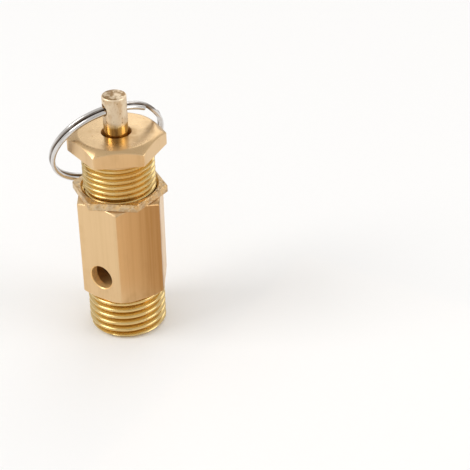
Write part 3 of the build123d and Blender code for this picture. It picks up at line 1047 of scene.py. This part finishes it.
class RELIEF_VALVE_OT_ring(PieceOperator, bpy.types.Operator):
    """Makes the pull ring: two turns of wire that step across beside the stem"""

    bl_idname = "relief_valve.ring"
    bl_label = "Pull ring"

    def execute(self, context):
        t = context.scene.valve_fitting_sizes
        to_centre = RING_CENTRE - HOLE_CENTRE
        hang = (to_centre - HOLE_AXIS * to_centre.dot(HOLE_AXIS)).normalized()
        normal = HOLE_AXIS.cross(hang).normalized()
        centre = HOLE_CENTRE + hang * t.ring_radius
        offset = t.ring_wire + t.turn_gap / 2
        gap = radians(2.0)
        step_end = t.ring_end + gap + t.ring_step

        # The ring is wound flat round Z with the hole at +X, then stood in its plane.
        bm = bmesh.new()
        first = Vector((t.ring_radius * cos(step_end), t.ring_radius * sin(step_end), offset))
        verts, edges = wire_section(bm, first, Vector((first.x, first.y, 0)), t.ring_wire, 20)
        first_end = list(verts)
        section = verts + edges

        long_way = tau - t.ring_step
        section = spin(bm, section, long_way, round(degrees(long_way) / 2))
        cuts = 14
        for i in range(cuts):
            share = (cos(pi * i / cuts) - cos(pi * (i + 1) / cuts)) / 2
            section = spin(bm, section, t.ring_step / cuts, 1, -2 * offset * share)
        rest = long_way - gap
        section = spin(bm, section, rest, round(degrees(rest) / 2))
        last_end = only(bmesh.types.BMVert, section)
        for end, way in ((first_end, -1), (last_end, 1)):
            self.round_end(bm, end, way, t.ring_wire)
        # Marks the painted shade along the groove between the two turns
        groove = bm.verts.layers.float.new("groove")
        for vert in bm.verts:
            inward = max(0.0, 1.0 - abs(vert.co.z) / (0.80 * t.ring_wire))
            vert[groove] = min(1.0, 2.0 * inward)
        bmesh.ops.recalc_face_normals(bm, faces=bm.faces)
        stand = Matrix((-hang, normal.cross(-hang), normal)).transposed().to_4x4()
        bm.transform(Matrix.Translation(centre) @ stand)
        piece = make_object("pull_ring", bm, ("nickel_wire",), 60.0)
        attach(piece, "ring")
        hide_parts("split_ring")
        return {"FINISHED"}

    def round_end(self, bm, end, way, radius):
        """Closes an end of the wire with a low dome."""
        middle = sum((vert.co for vert in end), Vector()) / len(end)
        along = Vector((-middle.y, middle.x, 0)).normalized() * way
        edges = [edge for edge in bm.edges if edge.is_boundary and edge.verts[0] in end]
        shrink = 1.0
        for share, advance in ((0.9, 0.16), (0.62, 0.17), (0.2, 0.1)):
            made = bmesh.ops.extrude_edge_only(bm, edges=edges)
            verts = only(bmesh.types.BMVert, made["geom"])
            edges = only(bmesh.types.BMEdge, made["geom"])
            edges = [edge for edge in edges if edge.verts[0] in verts and edge.verts[1] in verts]
            bmesh.ops.translate(bm, verts=verts, vec=along * radius * advance)
            to_middle = Matrix.Translation(-sum((vert.co for vert in verts), Vector()) / len(verts))
            factor = share / shrink
            bmesh.ops.scale(bm, verts=verts, vec=(factor,) * 3, space=to_middle)
            shrink = share
        bmesh.ops.holes_fill(bm, edges=edges, sides=0)


class RELIEF_VALVE_OT_spring(PieceOperator, bpy.types.Operator):
    """Makes the spring in two halves, one from each end to the middle"""

    bl_idname = "relief_valve.spring"
    bl_label = "Spring"

    def execute(self, context):
        t = context.scene.valve_fitting_sizes
        half_height = (SPRING_TOP - SPRING_BOTTOM) / 2
        middle = SPRING_BOTTOM + half_height
        half_turns = t.spring_turns // 2
        rows = (
            ("spring_lower", "stem_lift", SPRING_BOTTOM, True),
            ("spring_upper", "adjust_lift", SPRING_TOP, False),
        )
        for name, driver, face, keep_above in rows:
            bm = bmesh.new()
            start = Vector((t.spring_radius, 0, SPRING_BOTTOM if keep_above else middle))
            verts, edges = wire_section(bm, start, Vector((1, 0, 0)), t.spring_wire, 16)
            steps = half_turns * SPRING_STEPS
            spin(bm, verts + edges, tau * half_turns, steps, rise=half_height)
            close(bm)
            trim(bm, face, keep_above)
            piece = make_object(name, bm, ("scaled_steel",), 60.0)
            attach(piece, "valve")
            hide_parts("spring")
            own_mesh(piece)
        return {"FINISHED"}


class RELIEF_VALVE_OT_inner_parts(PieceOperator, bpy.types.Operator):
    """Gives the disc holder, sealing disc and spring washer their finishes"""

    bl_idname = "relief_valve.inner_parts"
    bl_label = "Inner parts"

    def execute(self, context):
        rows = (
            ("disc_holder", "turned_brass"),
            ("seal_disc", "moulded_rubber"),
            ("spring_washer", "turned_brass"),
        )
        for node, label in rows:
            mesh = frame["nodes"][node].data
            mesh.materials.clear()
            mesh.materials.append(finish(label))
        return {"FINISHED"}


# Each soft light: its place, its width and height, all in metres, and its radiance.
LIGHTS = {
    "Key": ((-0.24, -0.26, 0.32), (0.24, 0.24), 4.1),
    "Back": ((-0.10, 0.38, 0.24), (0.34, 0.20), 1.1),
    "Right": ((0.34, 0.10, 0.20), (0.20, 0.24), 2.2),
}
# Each card that polished metal reflects: its place, facing, width and height, and glow.
CARDS = {
    "warm_card": ((0.052, -0.012, 0.0006), (0, 0, 1), (0.070, 0.090), (0.86, 0.68, 0.50)),
    "dark_card": ((0.19, -0.25, 0.23), (-0.19, 0.25, -0.2), (0.10, 0.10), (0.02, 0.02, 0.02)),
}


class RELIEF_VALVE_OT_stage(PieceOperator, bpy.types.Operator):
    """Makes the floor, the soft lights and the camera"""

    bl_idname = "relief_valve.stage"
    bl_label = "Stage"

    def execute(self, context):
        s = context.scene.valve_stage_sizes
        self.floor(context, s)
        self.sky(context, s)
        for name, light in LIGHTS.items():
            self.softbox(context, name, *light)
        for name, card in CARDS.items():
            self.card(context, name, *card)
        self.camera(context, s)
        context.scene.view_settings.view_transform = "Standard"
        return {"FINISHED"}

    def sheet(self, context, name, size, matrix, material, glossy_only=False):
        """A flat sheet of the stage, which only polished metal sees if glossy_only."""
        bm = bmesh.new()
        bmesh.ops.create_grid(bm, x_segments=1, y_segments=1, size=0.5)
        bmesh.ops.scale(bm, verts=bm.verts, vec=(*size, 1))
        bm.transform(matrix)
        mesh = bpy.data.meshes.new(name)
        bm.to_mesh(mesh)
        bm.free()
        mesh.materials.append(material)
        sheet = bpy.data.objects.new(name, mesh)
        if glossy_only:
            sheet.visible_camera = False
            sheet.visible_diffuse = False
            sheet.visible_shadow = False
            sheet.visible_transmission = False
        context.scene.collection.objects.link(sheet)

    def floor(self, context, s):
        f = Finish("floor_paper")
        base = tuple(context.scene.valve_colours.floor)
        grain = f.noise((900, 900, 900), 3.0)
        f.finish(f.mix(grain, base, tint(base, 0.985)), 0.9, 0.0)
        just_below = Matrix.Translation((0, 0, -0.02 * MM))
        self.sheet(context, "floor", (s.floor_size, s.floor_size), just_below, f.material)

    def sky(self, context, s):
        world = bpy.data.worlds.new("Studio")
        world.use_nodes = True
        background = world.node_tree.nodes["Background"]
        background.inputs["Color"].default_value = (1.0, 0.985, 0.965, 1.0)
        background.inputs["Strength"].default_value = s.sky
        context.scene.world = world

    def softbox(self, context, name, location, size, radiance):
        """An area light of that radiance, facing the valve's middle."""
        lamp = bpy.data.lights.new(name, "AREA")
        lamp.shape = "RECTANGLE"
        lamp.size, lamp.size_y = size
        lamp.energy = radiance * pi * size[0] * size[1]
        light = bpy.data.objects.new(name, lamp)
        light.location = location
        aim = Vector((0, 0, STEM_TOP / 2)) - light.location
        light.rotation_euler = aim.to_track_quat("-Z", "Y").to_euler()
        context.scene.collection.objects.link(light)

    def card(self, context, name, location, facing, size, glow_colour):
        """A card that only polished metal reflects, to give the brass its darker side."""
        material = bpy.data.materials.new(name)
        material.use_nodes = True
        tree = material.node_tree
        tree.nodes.clear()
        glow = tree.nodes.new("ShaderNodeEmission")
        glow.inputs["Color"].default_value = (*glow_colour, 1.0)
        output = tree.nodes.new("ShaderNodeOutputMaterial")
        tree.links.new(glow.outputs[0], output.inputs["Surface"])
        turn = Vector(facing).to_track_quat("Z", "Y").to_matrix().to_4x4()
        matrix = Matrix.Translation(location) @ turn
        self.sheet(context, name, size, matrix, material, glossy_only=True)

    def camera(self, context, s):
        lens = bpy.data.cameras.new("Camera")
        lens.lens = s.camera_lens
        lens.sensor_width = 36.0
        lens.clip_start = 0.01
        camera = bpy.data.objects.new("Camera", lens)
        camera.location = Vector(s.camera_place)
        look = (Vector(s.camera_aim) - camera.location).to_track_quat("-Z", "Y").to_matrix()
        camera.rotation_euler = (look @ Matrix.Rotation(s.camera_roll, 3, "Z")).to_euler()
        context.scene.collection.objects.link(camera)
        context.scene.camera = camera


OPERATORS = (
    RELIEF_VALVE_OT_body,
    RELIEF_VALVE_OT_locknut,
    RELIEF_VALVE_OT_bonnet,
    RELIEF_VALVE_OT_stem,
    RELIEF_VALVE_OT_ring,
    RELIEF_VALVE_OT_spring,
    RELIEF_VALVE_OT_inner_parts,
    RELIEF_VALVE_OT_stage,
)
GROUPS = {
    "valve_body_sizes": BodySizes,
    "valve_fitting_sizes": FittingSizes,
    "valve_colours": FinishColours,
    "valve_stage_sizes": StageSizes,
}


class RELIEF_VALVE_PT_panel(bpy.types.Panel):
    """Lists the valve's pieces, each with its button"""

    bl_idname = "RELIEF_VALVE_PT_panel"
    bl_label = "Relief Valve"
    bl_space_type = "VIEW_3D"
    bl_region_type = "UI"
    bl_category = "Relief Valve"

    def draw(self, context):
        for operator in OPERATORS:
            self.layout.operator(operator.bl_idname)


def register():
    for group in GROUPS.values():
        bpy.utils.register_class(group)
    for name, group in GROUPS.items():
        setattr(bpy.types.Scene, name, PointerProperty(type=group))
    for operator in OPERATORS:
        bpy.utils.register_class(operator)
    bpy.utils.register_class(RELIEF_VALVE_PT_panel)


def unregister():
    bpy.utils.unregister_class(RELIEF_VALVE_PT_panel)
    for operator in reversed(OPERATORS):
        bpy.utils.unregister_class(operator)
    for name, group in GROUPS.items():
        delattr(bpy.types.Scene, name)
        bpy.utils.unregister_class(group)


def main():
    register()
    bpy.ops.relief_valve.body()
    bpy.ops.relief_valve.locknut()
    bpy.ops.relief_valve.bonnet()
    bpy.ops.relief_valve.stem()
    bpy.ops.relief_valve.ring()
    bpy.ops.relief_valve.spring()
    bpy.ops.relief_valve.inner_parts()
    bpy.ops.relief_valve.stage()


if __name__ == "__main__":
    main()
